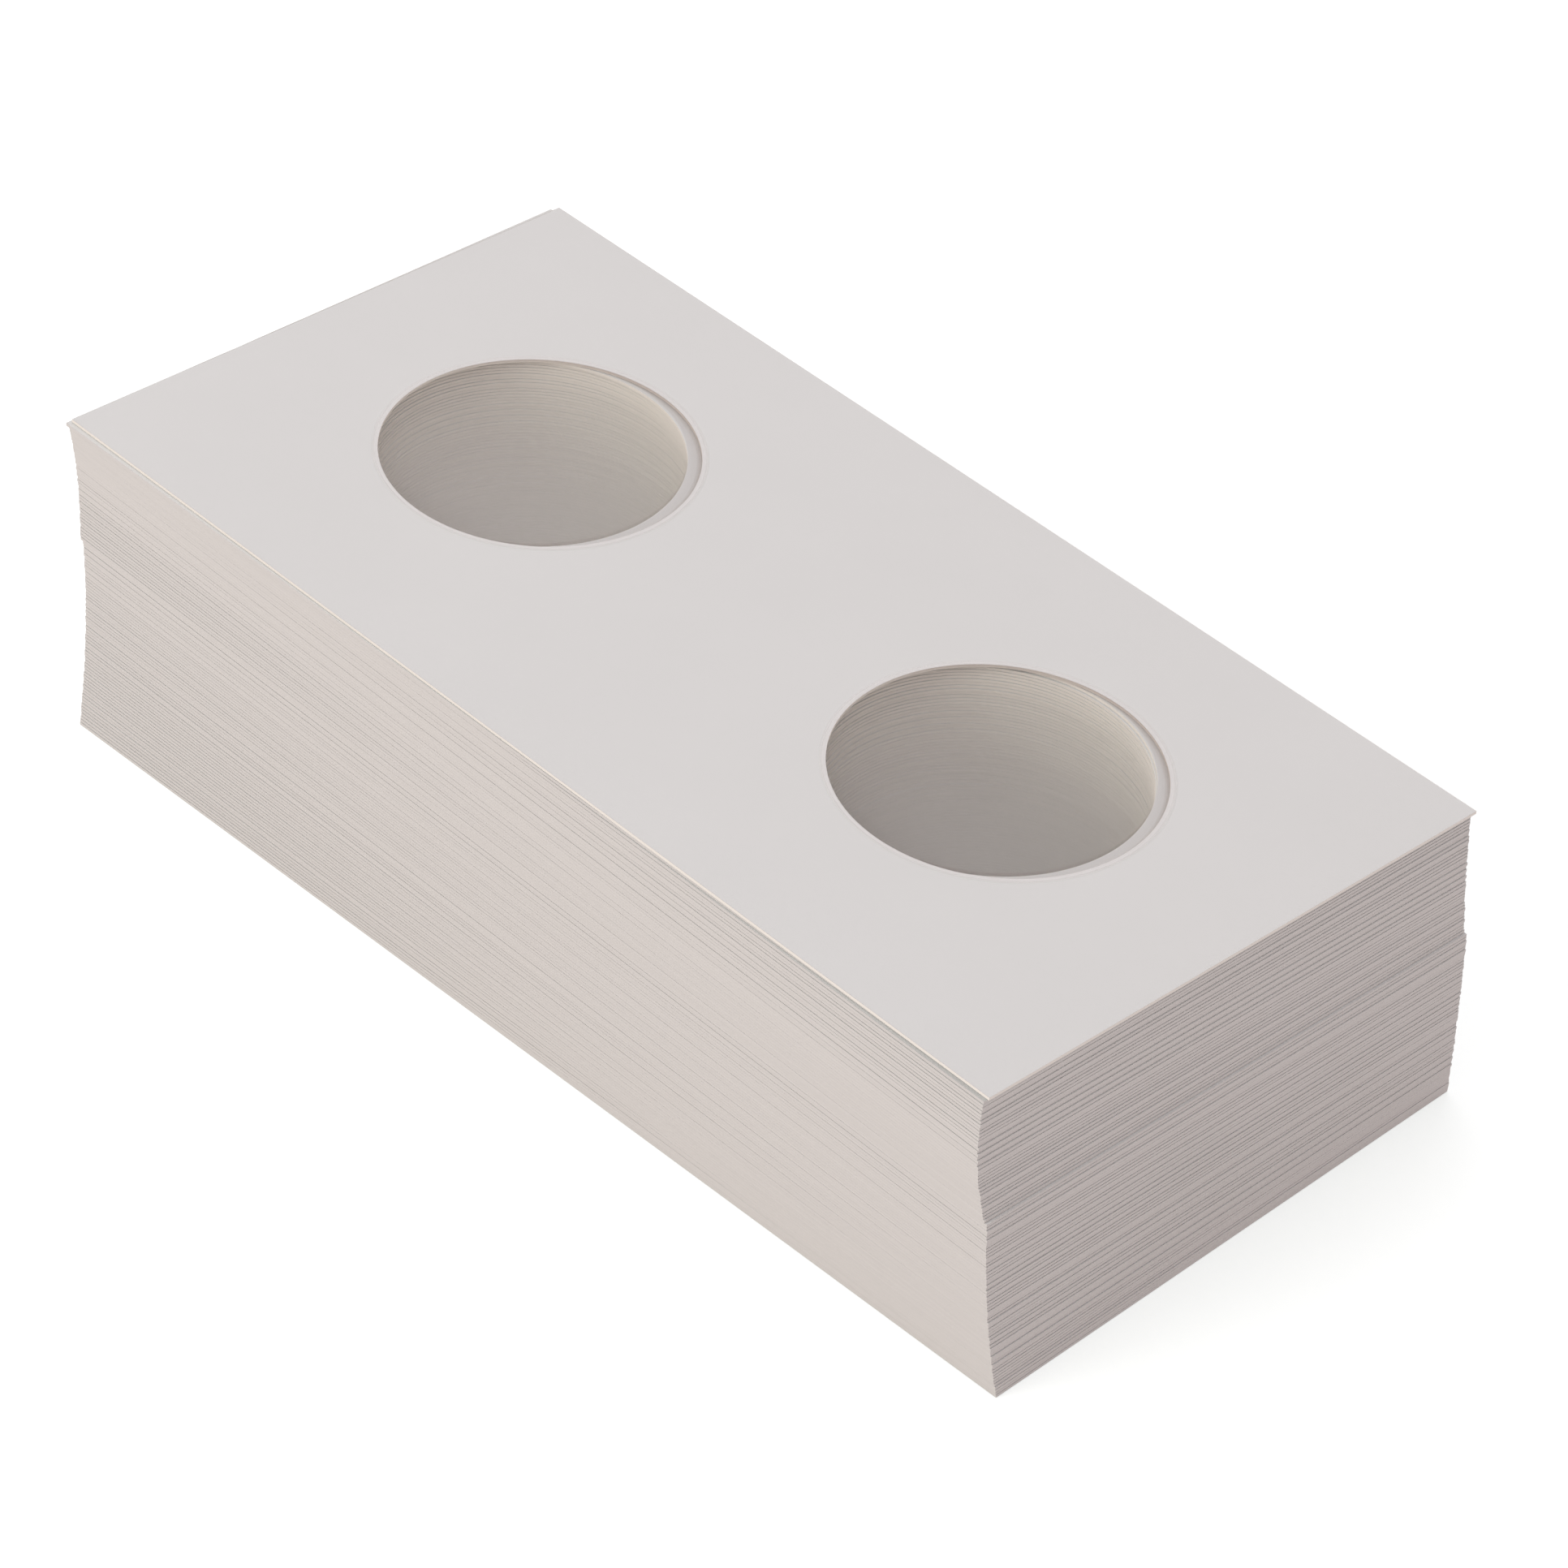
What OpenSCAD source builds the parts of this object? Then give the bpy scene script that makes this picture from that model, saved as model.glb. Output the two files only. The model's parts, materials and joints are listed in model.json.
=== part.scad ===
// A squared pile of flat, unfolded two by two coin holders, also called coin flips.
// Each holder is a white paperboard strip with two round windows, scored across its
// middle, and a clear film that covers the whole inner face and closes both windows.
// The strips lie inner face up. The one on top folds along its score, film to film.
//
// Units are millimetres, +Z is up. The origin lies on the surface that the pile
// stands on, straight under the crease and the middle of the top holder.
// +X runs along the strips, from the fixed leaf to the folding leaf.

/* [Strip] */
// Length of one flat strip, two square leaves long
strip_l = 101.6; // [80:0.1:140]
// Width of one strip
strip_w = 50.8; // [40:0.1:70]
// Thickness of the paperboard
board_t = 0.25; // [0.2:0.01:0.6]
// Thickness of the clear film
film_t = 0.03; // [0.02:0.01:0.1]

/* [Window] */
// Diameter of each round window
window_d = 25.4; // [10:0.1:32]
// Distance of each window's centre from the crease
window_x = 25.4; // [18:0.1:32]
// Distance of each window's centre from the strip's long centre line
window_y = 0.9; // [-2:0.05:2]
// How far the windows under the top holder were cut off their place, along the strip
cut_off_x = -0.65; // [-1:0.05:1]
// How far they were cut off their place across the strip
cut_off_y = -0.35; // [-1:0.05:1]

/* [Crease] */
// Width of the scored groove across the outer face
score_w = 0.3; // [0.2:0.05:1.5]
// Depth of the scored groove
score_h = 0.05; // [0.03:0.01:0.15]
// Gap that the folded film faces keep between them
fold_gap = 0.04; // [0.02:0.01:0.2]

/* [Pile] */
// Number of holders in the pile
holders = 100; // [60:1:160]
// Number of holders at the top that are drawn one by one
singles = 11; // [3:1:14]
// Number of the last holder above the break in the pile
upper_last = 40; // [20:1:50]
// Number of holders in one bundle of the rest
bundle = 10; // [8:1:20]

/* [Drift] */
// Compass direction in which the pile drifts, counter-clockwise from +X, in degrees
drift_dir = 12; // [0:0.5:90]
// Drift of the holders just under the top, along that direction
drift_top = -0.38; // [-1:0.01:1]
// Drift of the last holder above the break
drift_upper = 0.85; // [-1:0.01:2]
// Drift of the first holder below the break
drift_lower = 1.11; // [-1:0.01:2]
// Drift of the bottom holder
drift_base = 1.74; // [-1:0.01:3]
// Turn of the holders halfway down to the break, in degrees
turn_upper = -0.5; // [-2:0.05:2]
// Turn of the bottom holder, in degrees
turn_base = 1.85; // [-3:0.05:3]
// Turn of the second holder, in degrees
turn_second = 0.38; // [-1:0.01:1]
// Largest random slip of one holder along the strip, each way
slip_x = 0.055; // [0:0.005:0.3]
// Largest random slip of one holder across the strip, each way
slip_y = 0.015; // [0:0.005:0.3]
// Largest random turn of one holder, in degrees
slip_turn = 0.015; // [0:0.005:0.2]
// Seed of the random slips
slip_seed = 7; // [1:1:99]

/* [Hidden] */
$fn = 96;
pitch = board_t + film_t;
pile_h = holders * pitch;
leaf_l = strip_l / 2;
// How far a cutting shape reaches past the face that it opens
over = 0.1;

// The random numbers, one per holder and direction, drawn once
slips_x = rands(-slip_x, slip_x, holders + 1, slip_seed);
slips_y = rands(-slip_y, slip_y, holders + 1, slip_seed + 1);
slips_a = rands(-slip_turn, slip_turn, holders + 1, slip_seed + 2);

// First and last holder of each bundle. The first one starts below the single
// holders, and one ends at the break, so that no bundle spans it.
function next_last(first) =
    let (last = min(bundle * ceil(first / bundle), holders))
    first <= upper_last ? min(last, upper_last) : last;
function bundles_from(first) =
    first > holders ? []
    : concat([[first, next_last(first)]], bundles_from(next_last(first) + 1));
BUNDLES = bundles_from(singles + 1);

// Two digits or more, so that the names sort from the top down
function two_digits(i) = i < 10 ? str("0", i) : str(i);
function single_name(i, piece) = str("flip_", two_digits(i), "_", piece);
function bundle_name(b, piece) = str("flips_", b[0], "_", b[1], "_", piece, "s");

// Depth of a holder within its part of the pile, from 0 to 1
function depth_upper(i) = (i - 2) / (upper_last - 2);
function depth_lower(i) = (i - upper_last - 1) / (holders - upper_last - 1);

// Drift of holder i along drift_dir: a steady lean down to the break, then a small
// step, and from there a curve that stands upright again at the bottom
function drift(i) =
    i == 1 ? 0
    : i <= upper_last ? drift_top + (drift_upper - drift_top) * depth_upper(i)
    : drift_base - (drift_base - drift_lower) * pow(1 - depth_lower(i), 2);

// Turn of holder i in degrees: the upper part turns one way and is square again at
// the break, and the lower part turns the other way, faster near the bottom
function turn(i) =
    i == 1 ? 0
    : i == 2 ? turn_second
    : i <= upper_last ? turn_upper * sin(180 * depth_upper(i))
    : turn_base * pow(depth_lower(i), 2);

// Only the holders between the top two and the bottom one slip at random
function slips(list, i) = i > 2 && i < holders ? list[i] : 0;
function place_x(i) = drift(i) * cos(drift_dir) + slips(slips_x, i);
function place_y(i) = drift(i) * sin(drift_dir) + slips(slips_y, i);
function place_a(i) = turn(i) + slips(slips_a, i);
// Height of the outer face of holder i, which is its underside
function place_z(i) = pile_h - i * pitch;

// Puts what is drawn for one holder, with its outer face at z = 0, into the pile
module placed(i)
{
    translate([place_x(i), place_y(i), place_z(i)])
        rotate([0, 0, place_a(i)])
            children();
}

// Outline of one leaf: side is 1 for the folding leaf at +X, -1 for the fixed one
module leaf_outline(side)
{
    translate([side > 0 ? 0 : -leaf_l, -strip_w / 2])
        square([leaf_l, strip_w]);
}

// Round window of one leaf, off its place by the vector cut_off
module window_outline(side, cut_off = [0, 0])
{
    translate([side * window_x, window_y] + cut_off)
        circle(d = window_d);
}

// The scored groove, a shallow V pressed into the outer face along the crease
module score()
{
    translate([0, strip_w / 2 + over, 0])
        rotate([90, 0, 0])
            linear_extrude(height = strip_w + 2 * over)
                polygon([
                    [-score_w / 2 * (1 + over / score_h), -over],
                    [0, score_h],
                    [score_w / 2 * (1 + over / score_h), -over]
                ]);
}

// Paperboard of one leaf, with its window and its half of the groove
module leaf_board(side)
{
    difference() {
        linear_extrude(height = board_t)
            difference() {
                leaf_outline(side);
                window_outline(side);
            }
        score();
    }
}

// Clear film of one leaf
module leaf_film(side)
{
    translate([0, 0, board_t])
        linear_extrude(height = film_t)
            leaf_outline(side);
}

// Paperboard strip of a whole holder, as each one under the top holder was cut
module strip_board()
{
    difference() {
        linear_extrude(height = board_t)
            difference() {
                square([strip_l, strip_w], center = true);
                for (side = [-1, 1])
                    window_outline(side, [cut_off_x, cut_off_y]);
            }
        score();
    }
}

// Clear film of a whole holder, flush with the strip's edges
module strip_film()
{
    translate([0, 0, board_t])
        linear_extrude(height = film_t)
            square([strip_l, strip_w], center = true);
}

// The top holder, cut along the crease into the leaf that lies still and the leaf
// that folds over onto it
module top_flip_fixed_board() { color("#dad6d4") placed(1) leaf_board(-1); }
module top_flip_fixed_film() { color("#e9edee", 0.4) placed(1) leaf_film(-1); }
module top_flip_folding_board() { color("#d4d1d0") placed(1) leaf_board(1); }
module top_flip_folding_film() { color("#e9edee", 0.4) placed(1) leaf_film(1); }

// One of the next holders, its strip and its film
module single_board(i) { color("#d6d2ce") placed(i) strip_board(); }
module single_film(i) { color("#e4e8ea", 0.4) placed(i) strip_film(); }

// A bundle of the holders further down, as separate strips or separate films
module bundle_boards(b)
{
    color("#cfcac1")
        for (i = [b[0]:b[1]])
            placed(i) strip_board();
}

module bundle_films(b)
{
    color("#dfe3e4", 0.4)
        for (i = [b[0]:b[1]])
            placed(i) strip_film();
}

top_flip_fixed_board();
top_flip_fixed_film();
top_flip_folding_board();
top_flip_folding_film();
for (i = [2:singles]) {
    single_board(i);
    single_film(i);
}
for (b = BUNDLES) {
    bundle_boards(b);
    bundle_films(b);
}
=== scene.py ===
"""Looks of a squared pile of flat two by two coin holders.

Every holder is a white paperboard strip with two die-cut windows, and a clear film
that covers its inner face. The frame says where each one lies. The strips, the films
and the crease of the top holder are made here, each with its own finish.
"""

import json
import math
from collections import namedtuple

import bpy
import numpy as np
from mathutils import Matrix, Vector
from mathutils.geometry import delaunay_2d_cdt

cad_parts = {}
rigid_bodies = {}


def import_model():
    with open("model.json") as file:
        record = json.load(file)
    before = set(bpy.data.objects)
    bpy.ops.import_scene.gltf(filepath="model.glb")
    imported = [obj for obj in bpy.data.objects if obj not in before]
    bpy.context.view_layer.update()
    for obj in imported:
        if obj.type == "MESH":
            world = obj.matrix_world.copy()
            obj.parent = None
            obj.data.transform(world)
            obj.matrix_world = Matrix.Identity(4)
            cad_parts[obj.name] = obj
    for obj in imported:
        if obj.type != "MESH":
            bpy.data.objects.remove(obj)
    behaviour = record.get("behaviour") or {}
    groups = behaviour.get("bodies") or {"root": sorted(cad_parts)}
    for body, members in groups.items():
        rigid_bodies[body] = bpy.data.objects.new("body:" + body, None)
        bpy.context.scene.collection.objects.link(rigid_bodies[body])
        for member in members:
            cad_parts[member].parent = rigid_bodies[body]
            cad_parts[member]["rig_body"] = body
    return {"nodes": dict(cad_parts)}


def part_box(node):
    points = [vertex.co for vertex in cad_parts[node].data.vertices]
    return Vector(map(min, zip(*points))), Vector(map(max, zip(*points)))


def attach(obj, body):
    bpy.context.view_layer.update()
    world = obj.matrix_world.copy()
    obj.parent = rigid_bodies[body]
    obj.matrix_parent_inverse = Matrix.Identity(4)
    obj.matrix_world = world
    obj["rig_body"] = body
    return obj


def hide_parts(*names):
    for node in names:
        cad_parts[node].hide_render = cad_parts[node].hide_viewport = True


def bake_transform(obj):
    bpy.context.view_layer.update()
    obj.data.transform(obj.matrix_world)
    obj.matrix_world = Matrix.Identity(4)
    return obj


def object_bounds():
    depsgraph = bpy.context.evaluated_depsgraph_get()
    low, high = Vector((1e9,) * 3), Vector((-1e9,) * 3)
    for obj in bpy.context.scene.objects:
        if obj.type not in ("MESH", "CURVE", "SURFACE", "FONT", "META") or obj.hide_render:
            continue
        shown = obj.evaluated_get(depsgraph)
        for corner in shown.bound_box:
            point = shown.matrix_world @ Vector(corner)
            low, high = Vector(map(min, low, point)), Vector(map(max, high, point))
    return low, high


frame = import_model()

bl_info = {
    "name": "Coin Holder Pile",
    "version": (1, 0, 0),
    "blender": (4, 5, 0),
    "location": "View3D > Sidebar > Coin Holders",
    "description": "Dresses a pile of flat paperboard coin holders with films, crease and studio",
    "category": "Add Mesh",
}

CAD_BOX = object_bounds()
MM = 0.001
TAU = 2 * math.pi
# Two places nearer than this are one place
TINY = 0.001 * MM
# The windows keep further than this from the crease and the sides, and the groove lies nearer
MARGIN = 1.0 * MM

# Names in the frame: nodes and bodies of the top holder, and both slots
FIXED_BOARD, FOLDING_BOARD = "top_flip_fixed_board", "top_flip_folding_board"
FIXED_FILM, FOLDING_FILM = "top_flip_fixed_film", "top_flip_folding_film"
BOARD_SLOT, FILM_SLOT = "paperboard", "clear_film"

Place = namedtuple("Place", "x y z turn")
Window = namedtuple("Window", "x y radius")
Level = namedtuple("Level", "inset z")
Lamp = namedtuple("Lamp", "place size colour")


def board_of(film_node):
    """The node of the board that a node's film lies on."""
    return film_node.replace("film", "board")


def body_of(node):
    """The body that a node moves with."""
    return frame["nodes"][node]["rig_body"]


def corners_of(node):
    """The vertices of a node at rest, one row each."""
    mesh = frame["nodes"][node].data
    co = np.zeros(len(mesh.vertices) * 3, np.float32)
    mesh.vertices.foreach_get("co", co)
    return co.reshape(-1, 3).astype(float)


def windows_of(node, place):
    """Round windows of a strip or leaf, seen from its own middle, from -X to +X.

    Only their walls lie away from its sides and from the crease."""
    cos, sin = math.cos(place.turn), math.sin(place.turn)
    own = (corners_of(node)[:, :2] - (place.x, place.y)) @ np.array([[cos, -sin], [sin, cos]])
    found = []
    for side in (-1, 1):
        along, across = own[:, 0] * side, abs(own[:, 1])
        inner = (along > MARGIN) & (along < LEAF_L - MARGIN) & (across < STRIP_W / 2 - MARGIN)
        wall = own[inner]
        if len(wall):
            low, high = wall.min(0), wall.max(0)
            middle = (low + high) / 2
            found.append(Window(middle[0], middle[1], float((high - low).max()) / 2))
    return found


def middles_of(board_node, place):
    """Middles of a board's windows as they lie in the pile, from -X to +X."""
    turned = Matrix.Rotation(place.turn, 2)
    return [turned @ Vector((w.x, w.y)) + Vector((place.x, place.y))
            for w in windows_of(board_node, place)]


def score_of(node):
    """Half the width and the depth of the groove along a leaf's crease."""
    low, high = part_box(node)
    co = corners_of(node)
    under = co[(co[:, 2] < low.z + TINY) & (co[:, 0] < low.x + MARGIN)]
    crease = co[co[:, 0] < low.x + TINY]
    return float(under[:, 0].min() - low.x), float(crease[:, 2].min() - low.z)


def places_of(film_node):
    """Where each film of a node lies, as the place of its holder, from the top down."""
    co = corners_of(film_node)
    levels = np.unique(co[:, 2].round(6))
    found = []
    # Every second level is the upper face of a film
    for top in levels[1::2][::-1]:
        flat = np.unique(co[abs(co[:, 2] - top) < TINY][:, :2].round(7), axis=0)
        middle = flat.mean(0)
        front = sorted(p for p in flat.tolist() if p[1] < middle[1])
        along = np.subtract(front[-1], front[0])
        turn = math.atan2(along[1], along[0])
        found.append(Place(middle[0], middle[1], top - PITCH, turn))
    return found


LEAF_LOW, LEAF_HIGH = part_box(FOLDING_BOARD)
FILM_LOW, FILM_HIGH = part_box(FOLDING_FILM)
BOARD_T = LEAF_HIGH.z - LEAF_LOW.z
FILM_T = FILM_HIGH.z - FILM_LOW.z
PITCH = BOARD_T + FILM_T
LEAF_L = LEAF_HIGH.x - LEAF_LOW.x
STRIP_W = LEAF_HIGH.y - LEAF_LOW.y
CREASE = Vector((LEAF_LOW.x, (LEAF_LOW.y + LEAF_HIGH.y) / 2, FILM_HIGH.z))
SCORE_HALF, SCORE_H = score_of(FOLDING_BOARD)
TOP_PLACE = Place(CREASE.x, CREASE.y, LEAF_LOW.z, 0.0)
WINDOW_R = windows_of(FIXED_BOARD, TOP_PLACE)[0].radius
SINGLE_FILMS = sorted(n for n in frame["nodes"] if n.startswith("flip_") and "film" in n)
BUNDLE_FILMS = sorted(n for n in frame["nodes"] if n.startswith("flips_") and "film" in n)

# The lowest bundles, which so many hazy films cover that their windows look closed
CLOSED_BUNDLES = 3
# One film in so many of a bundle carries the haze of its neighbours
HAZE_STEP = 3
# More faces than a ray crosses on its way through all the films over the closed ones and back
FILM_FACES = 340

# Points round a window, distance of the points along a straight side, and how near to
# each other two points count as one when a level is closed with triangles
RING_STEPS = 128
SIDE_STEP = 2.5 * MM
MERGE = 0.0001 * MM

# The stray course of the cut edges is noise. Less a half it reaches half as far as the
# setting says, so it counts twice. It runs slowly along an edge, and it is another one a
# layer or a seed further.
EDGE_WANDER = 2.0
COURSE_STRETCH = 9.0
COURSE_SCALE = 7.7
SEED_STEP = 0.313
# Share of a pitch that keeps an upper face, level with the next holder, in its own layer
LEVEL_NUDGE = 0.01

# A face keeps one of these as its finish, and so picks its material
FACE, CUT, WINDOW_CUT = 0, 1, 2
ON_BOARD, OVER_WINDOW, UNDERSIDE, RIM = 0, 1, 2, 3
# The same for the bands across the crease
BAND_UPPER, BAND_END, BAND_LOWER = 0, 1, 2

# What the patterns and the places carry for the Geometry Nodes, and these nodes' inputs
FINISH, WANDER, ORDER, TURN = "finish", "wander", "order", "turn"
LAY_HOLDERS = "Lay holders"
MATERIAL_INPUTS = ("First Material", "Second Material", "Third Material", "Fourth Material")

# Names of the materials
PAPER_FACE, CUT_EDGE, LIT_CUT_EDGE = "bleached paper face", "cut paper edge", "lit cut edge"
FILM_ON_BOARD, FILM_BELOW, FILM_EDGE = "film on board", "film underside", "film cut edge"
TOP_ON_BOARD, TOP_OVER_WINDOW = "top film on board", "top film over window"
FREE_FILM, BUNDLED_FILM = "film over window", "bundled films over window"
CLOSED_FILM = "stacked window films"

# Waves per metre of the patterns in the surfaces
CLOUDS, RIPPLES, STREAKS = 90.0, 60.0, 500.0
FACE_FIBRES, EDGE_FIBRES, FILM_EDGE_GRAIN = 2600.0, 5200.0, 1500.0
# Heights of these patterns
FACE_RELIEF, EDGE_RELIEF, RIPPLE_H = 0.004 * MM, 0.002 * MM, 0.05 * MM
# How many times longer than high a cut edge's streaks are
STREAK_STRETCH = 14.0

# Painted light in the films' haze: its brightness at the fixed leaf's end of the pile and at the
# other end, falling off towards the folding end
PAINTED_LIGHT_FIXED_END, PAINTED_LIGHT_FOLDING_END = 1.07, 0.77
# The painted shade in the top film starts this far inside a window's rim
SHADE_START = 0.1 * MM
# Widths over which the painted shade line under the rim and the painted shade over the ledge come
# in
LINE_BLUR, LEDGE_BLUR = 0.3 * MM, 0.15 * MM
# From one part in so many of full painted shade on, the shade's colour is full
SHADE_GAIN = 12.0
# Colour of the painted highlight round each window of the top film
RIM_HIGHLIGHT_COLOUR = (0.97, 0.95, 0.93)

# The studio: each lamp's place, size and colour, the even light round the pile, half the
# floor's width and how far it lies below the pile, and the camera's sensor in millimetres
WHITE = (1.0, 1.0, 1.0, 1.0)
KEY_LAMP = Lamp((-0.25, -0.9, 0.62), 0.6, (0.985, 1.0, 0.945))
TOP_LAMP = Lamp((-0.35, 0.2, 0.65), 0.6, (0.97, 0.98, 1.0))
WORLD_COLOUR = (1.0, 0.928, 0.957, 1.0)
FLOOR_HALF = 3.0
FLOOR_DROP = 0.02 * MM
FLOOR_COLOUR = (0.82, 0.82, 0.82, 1.0)
# Light added to the floor where the camera or gloss sees it, so that it is white there
FLOOR_GLOW, FLOOR_GLOW_STRENGTH = (0.92, 1.0, 0.97, 1.0), 0.475
SENSOR = 36.0
CLIP_NEAR, CLIP_FAR = 0.01, 20.0


class PaperSettings(bpy.types.PropertyGroup):
    """Paperboard of every holder."""

    face_colour: bpy.props.FloatVectorProperty(
        name="Face", description="Colour of the bleached faces", subtype="COLOR",
        size=3, default=(0.757, 0.766, 0.747), min=0, max=1)
    cut_colour: bpy.props.FloatVectorProperty(
        name="Cut edge", description="Colour of the die-cut edges", subtype="COLOR",
        size=3, default=(0.712, 0.678, 0.64), min=0, max=1)
    # A lighter copy of the cut edge colour: painted light that brightens the windows' walls and
    # the top holder's edges
    lit_cut_colour: bpy.props.FloatVectorProperty(
        name="Window edge", description="Colour of the windows' and the top holder's edges",
        subtype="COLOR", size=3, default=(0.93, 0.87, 0.79), min=0, max=1)
    layer_spread: bpy.props.FloatProperty(
        name="Layer spread", description="How much the cut edges differ in tone",
        default=0.06, min=0, max=1, subtype="FACTOR")
    edge_round: bpy.props.FloatProperty(
        name="Edge rounding", description="Radius of the cut edges",
        default=0.012 * MM, min=0, max=0.1 * MM, subtype="DISTANCE", unit="LENGTH")
    cut_wander: bpy.props.FloatVectorProperty(
        name="Cut wander", description="How far the cut edges stray from straight, along "
        "the strip and across it", size=3, default=(0.014 * MM, 0.005 * MM, 0), min=0,
        max=0.3 * MM, subtype="XYZ", unit="LENGTH")
    seed: bpy.props.IntProperty(
        name="Seed", description="Seed of the edges' random course", default=5, min=0)


class FilmSettings(bpy.types.PropertyGroup):
    """Clear film of every holder."""

    film_colour: bpy.props.FloatVectorProperty(
        name="Sheen", description="Colour of the light that the film scatters",
        subtype="COLOR", size=3, default=(0.82, 0.802, 0.758), min=0, max=1)
    window_haze: bpy.props.FloatProperty(
        name="Window haze", description="Share of light that a free film returns",
        default=0.03, min=0, max=1, subtype="FACTOR")
    bundle_haze: bpy.props.FloatProperty(
        name="Bundle haze", description="Share of light that each hazy film of a "
        "bundle returns", default=0.06, min=0, max=1, subtype="FACTOR")
    glued_haze: bpy.props.FloatProperty(
        name="Glued haze", description="Share of light that the film on the board "
        "returns", default=0.03, min=0, max=1, subtype="FACTOR")
    roughness: bpy.props.FloatProperty(
        name="Roughness", description="Roughness of the film", default=0.32,
        min=0, max=1, subtype="FACTOR")
    seat: bpy.props.FloatProperty(
        name="Seat", description="Air left between faces that touch",
        default=0.005 * MM, min=0, max=0.02 * MM, subtype="DISTANCE", unit="LENGTH")


class TopHolderSettings(bpy.types.PropertyGroup):
    """Crease and window rims of the top holder."""

    crease_half: bpy.props.FloatProperty(
        name="Crease half width", description="Half of the band that bends",
        default=0.35 * MM, min=0.1 * MM, max=2 * MM, subtype="DISTANCE", unit="LENGTH")
    crease_steps: bpy.props.IntProperty(
        name="Crease steps", description="Rows of faces across the bending band",
        default=14, min=4, max=64)
    # The rim line and the ledge are painted shade in the top film: a dark colour and opacity in
    # place of the top holder's shadow in its windows
    rim_width: bpy.props.FloatProperty(
        name="Rim width", description="Width of the shaded line under the windows' far edge",
        default=0.5 * MM, min=0.1 * MM, max=2 * MM, subtype="DISTANCE", unit="LENGTH")
    rim_shade: bpy.props.FloatProperty(
        name="Rim shade", description="Share of light that the film returns along this line",
        default=0.22, min=0, max=1, subtype="FACTOR")
    ledge_shade: bpy.props.FloatProperty(
        name="Ledge shade", description="Share of light that the film returns where the "
        "next holder's face shows inside the window",
        default=0.09, min=0, max=1, subtype="FACTOR")
    shade_colour: bpy.props.FloatVectorProperty(
        name="Shade", description="Colour of the shaded line and of the film over the ledge",
        subtype="COLOR", size=3, default=(0.2, 0.12, 0.1), min=0, max=1)
    # The pale ring is a painted highlight round the rim of each window in the top film
    rim_highlight_width: bpy.props.FloatProperty(
        name="Lip width", description="Width of the pale ring round each window",
        default=0.6 * MM, min=0.1 * MM, max=2 * MM, subtype="DISTANCE", unit="LENGTH")
    rim_highlight_haze: bpy.props.FloatProperty(
        name="Lip haze", description="Share of light that the pale ring returns",
        default=0.4, min=0, max=1, subtype="FACTOR")


class StudioSettings(bpy.types.PropertyGroup):
    """Camera, lamps and floor."""

    azimuth: bpy.props.FloatProperty(
        name="Azimuth", description="Side the camera looks from, from -Y towards +X",
        default=math.radians(43.27), subtype="ANGLE")
    elevation: bpy.props.FloatProperty(
        name="Elevation", description="Height of the camera above the horizon",
        default=math.radians(38.19), subtype="ANGLE")
    roll: bpy.props.FloatProperty(
        name="Roll", description="Turn of the camera about its line of sight",
        default=math.radians(5.45), subtype="ANGLE")
    place: bpy.props.FloatVectorProperty(
        name="Place", description="Where the camera stands", subtype="TRANSLATION",
        unit="LENGTH", size=3, default=(0.23974, -0.24947, 0.28368))
    lens: bpy.props.FloatProperty(
        name="Lens", description="Focal length on a sensor 36 mm wide",
        default=130.4, min=20, max=300)
    key_power: bpy.props.FloatProperty(
        name="Key lamp", description="Power of the lamp at the front left",
        default=4.0, min=0, unit="POWER")
    fill_power: bpy.props.FloatProperty(
        name="Fill lamp", description="Power of the lamp overhead",
        default=0.55, min=0, unit="POWER")
    world_light: bpy.props.FloatProperty(
        name="World", description="Strength of the even light all round",
        default=0.675, min=0)


def settings():
    """What the panel in the sidebar shows."""
    return bpy.context.scene.coin_holders


class Shade:
    """One socket of a node tree, with arithmetic that adds its Math nodes."""

    def __init__(self, nodes, socket):
        self.nodes, self.socket = nodes, socket

    def _math(self, operation, *values):
        return self.nodes.node(
            "ShaderNodeMath", {"operation": operation}, dict(enumerate(values)))

    def __add__(self, other):
        return self._math("ADD", self, other)

    def __sub__(self, other):
        return self._math("SUBTRACT", self, other)

    def __mul__(self, other):
        return self._math("MULTIPLY", self, other)

    def __truediv__(self, other):
        return self._math("DIVIDE", self, other)

    def __mod__(self, other):
        return self._math("MODULO", self, other)

    def __rsub__(self, other):
        return self._math("SUBTRACT", other, self)

    __radd__, __rmul__ = __add__, __mul__

    def least(self, other):
        return self._math("MINIMUM", self, other)

    def most(self, other):
        return self._math("MAXIMUM", self, other)

    def clamped(self):
        return self.least(1.0).most(0.0)

    def fraction(self):
        return self._math("FRACT", self)

    def floor(self):
        return self._math("FLOOR", self)


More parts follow.
